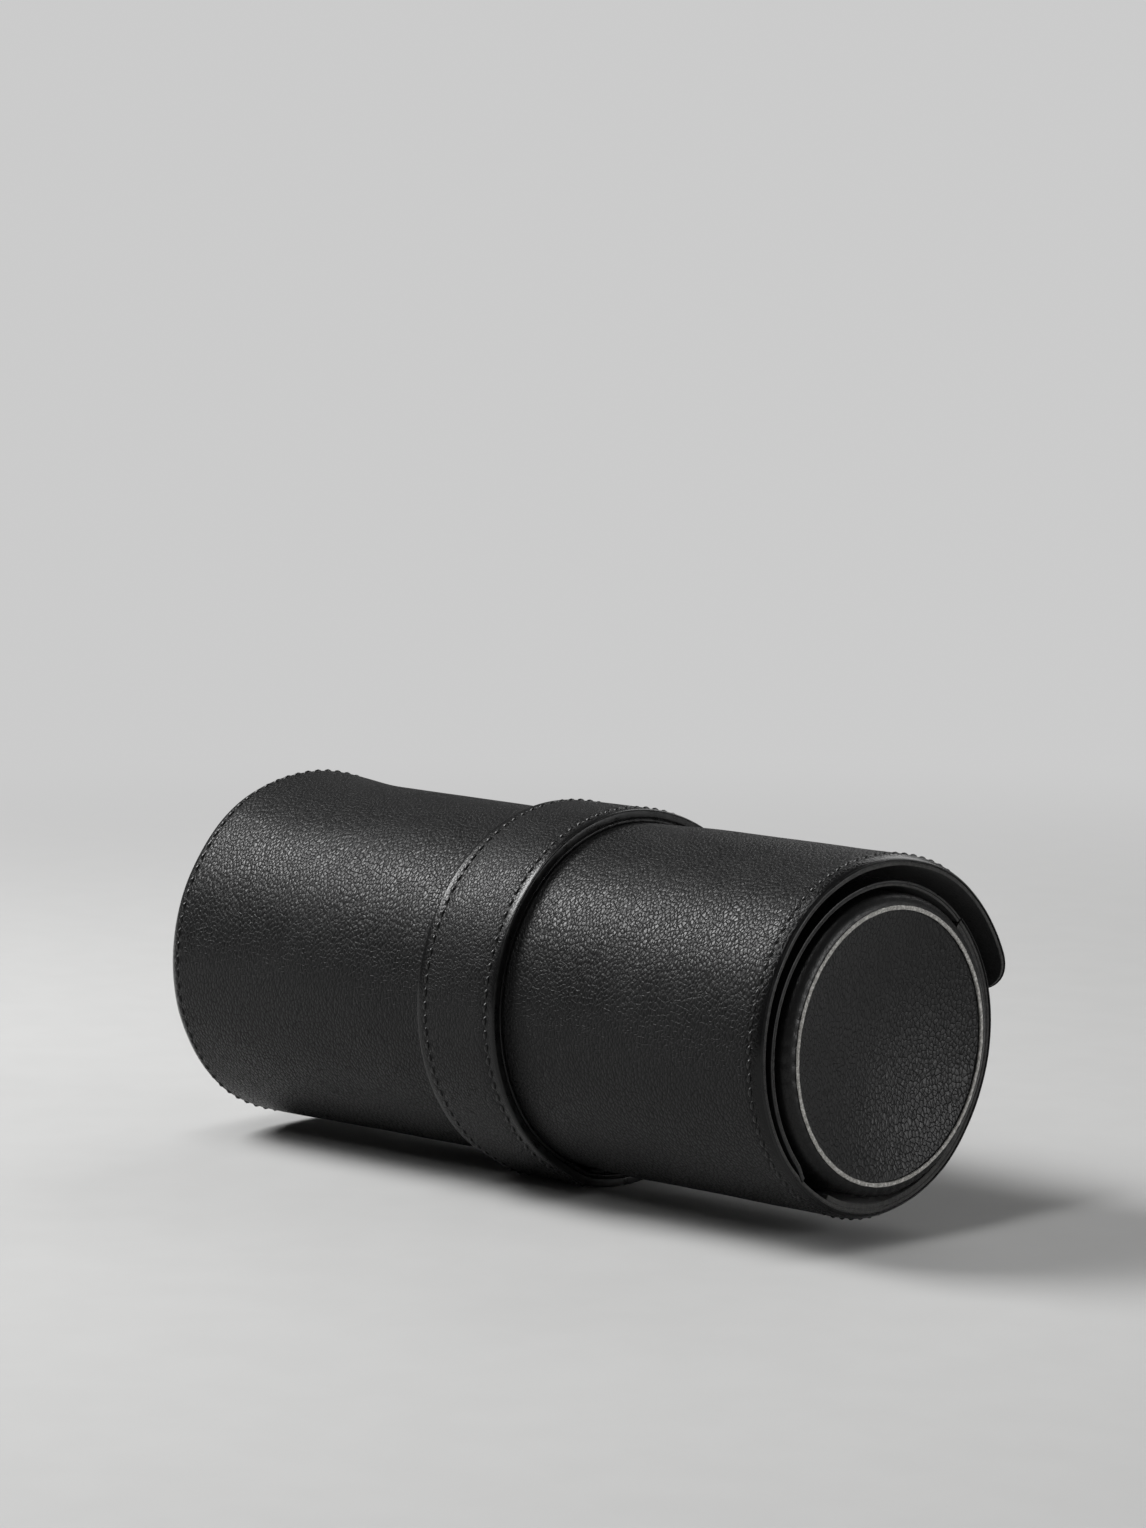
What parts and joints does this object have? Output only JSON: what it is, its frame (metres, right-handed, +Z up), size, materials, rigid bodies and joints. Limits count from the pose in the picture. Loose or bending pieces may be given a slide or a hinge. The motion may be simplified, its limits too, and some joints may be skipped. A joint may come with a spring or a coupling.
{
  "type": "watch roll",
  "caption": "Rolled leather watch case: a lined wrap and thin inner leaves round a padded core with dished ends, held by a stitched strap that closes at the back.",
  "frame": {"origin": "middle of the small flat on the strap's underside on which the roll rests", "axes": "+X along the roll towards the end that the picture shows, -Y towards the front where the flap opens, +Z up"},
  "size_m": [0.1924, 0.0898, 0.0859],
  "materials": {
    "wrap_leather": "pebbled, satin",
    "lining": "fine suede",
    "strap_leather": "pebbled, satin, painted edge",
    "stiffener": "hidden board with a painted edge",
    "thread": "waxed thread",
    "magnet": "nickel plated",
    "cover_leather": "smooth, satin",
    "end_leather": "pebbled, with a light raw cut edge",
    "board": "grey board",
    "foam": "foam"
  },
  "bodies": {
    "base": {"wrap_leather_base": "wrap_leather", "wrap_lining_base": "lining", "lower_leaf": "lining", "strap_patch": "strap_leather", "strap_leather_base": "strap_leather", "strap_stiffener_base": "stiffener", "strap_lining_base": "lining", "stitching_base": "thread", "wrap_magnet": "magnet"},
    "flap_front": {"wrap_leather_front": "wrap_leather", "wrap_lining_front": "lining", "strap_leather_front": "strap_leather", "strap_stiffener_front": "stiffener", "strap_lining_front": "lining", "stitching_front": "thread"},
    "flap_top": {"wrap_leather_top": "wrap_leather", "wrap_lining_top": "lining", "strap_leather_top": "strap_leather", "strap_stiffener_top": "stiffener", "strap_lining_top": "lining", "stitching_top": "thread", "tail_magnet": "magnet"},
    "upper_leaf": {"upper_leaf_leather": "wrap_leather", "upper_leaf_lining": "lining"},
    "core": {"core_tube": "board", "core_foam": "foam", "core_cover": "cover_leather", "end_board_right": "board", "end_board_left": "board", "end_pad_right": "foam", "end_pad_left": "foam", "end_dish_right": "end_leather", "end_dish_left": "end_leather"}
  },
  "joints": [
    {"name": "front_fold", "type": "hinge", "parent": "base", "child": "flap_front", "pos_m": [-0.0057, -0.02596, 0.00827], "axis": [1, 0, 0], "range_deg": [0, 70]},
    {"name": "top_fold", "type": "hinge", "parent": "flap_front", "child": "flap_top", "pos_m": [-0.0057, -0.02204, 0.07967], "axis": [1, 0, 0], "range_deg": [0, 106]},
    {"name": "leaf_fold", "type": "hinge", "parent": "base", "child": "upper_leaf", "pos_m": [-0.0057, 0.02603, 0.06687], "axis": [-1, 0, 0], "range_deg": [0, 99]},
    {"name": "core_slide", "type": "slide", "parent": "base", "child": "core", "axis": [1, 0, 0], "range_m": [-0.195, 0.195]}
  ],
  "couplings": [
    {"joint": "top_fold", "follows": "front_fold", "ratio": 1.5},
    {"joint": "leaf_fold", "follows": "front_fold", "ratio": 1.4}
  ]
}
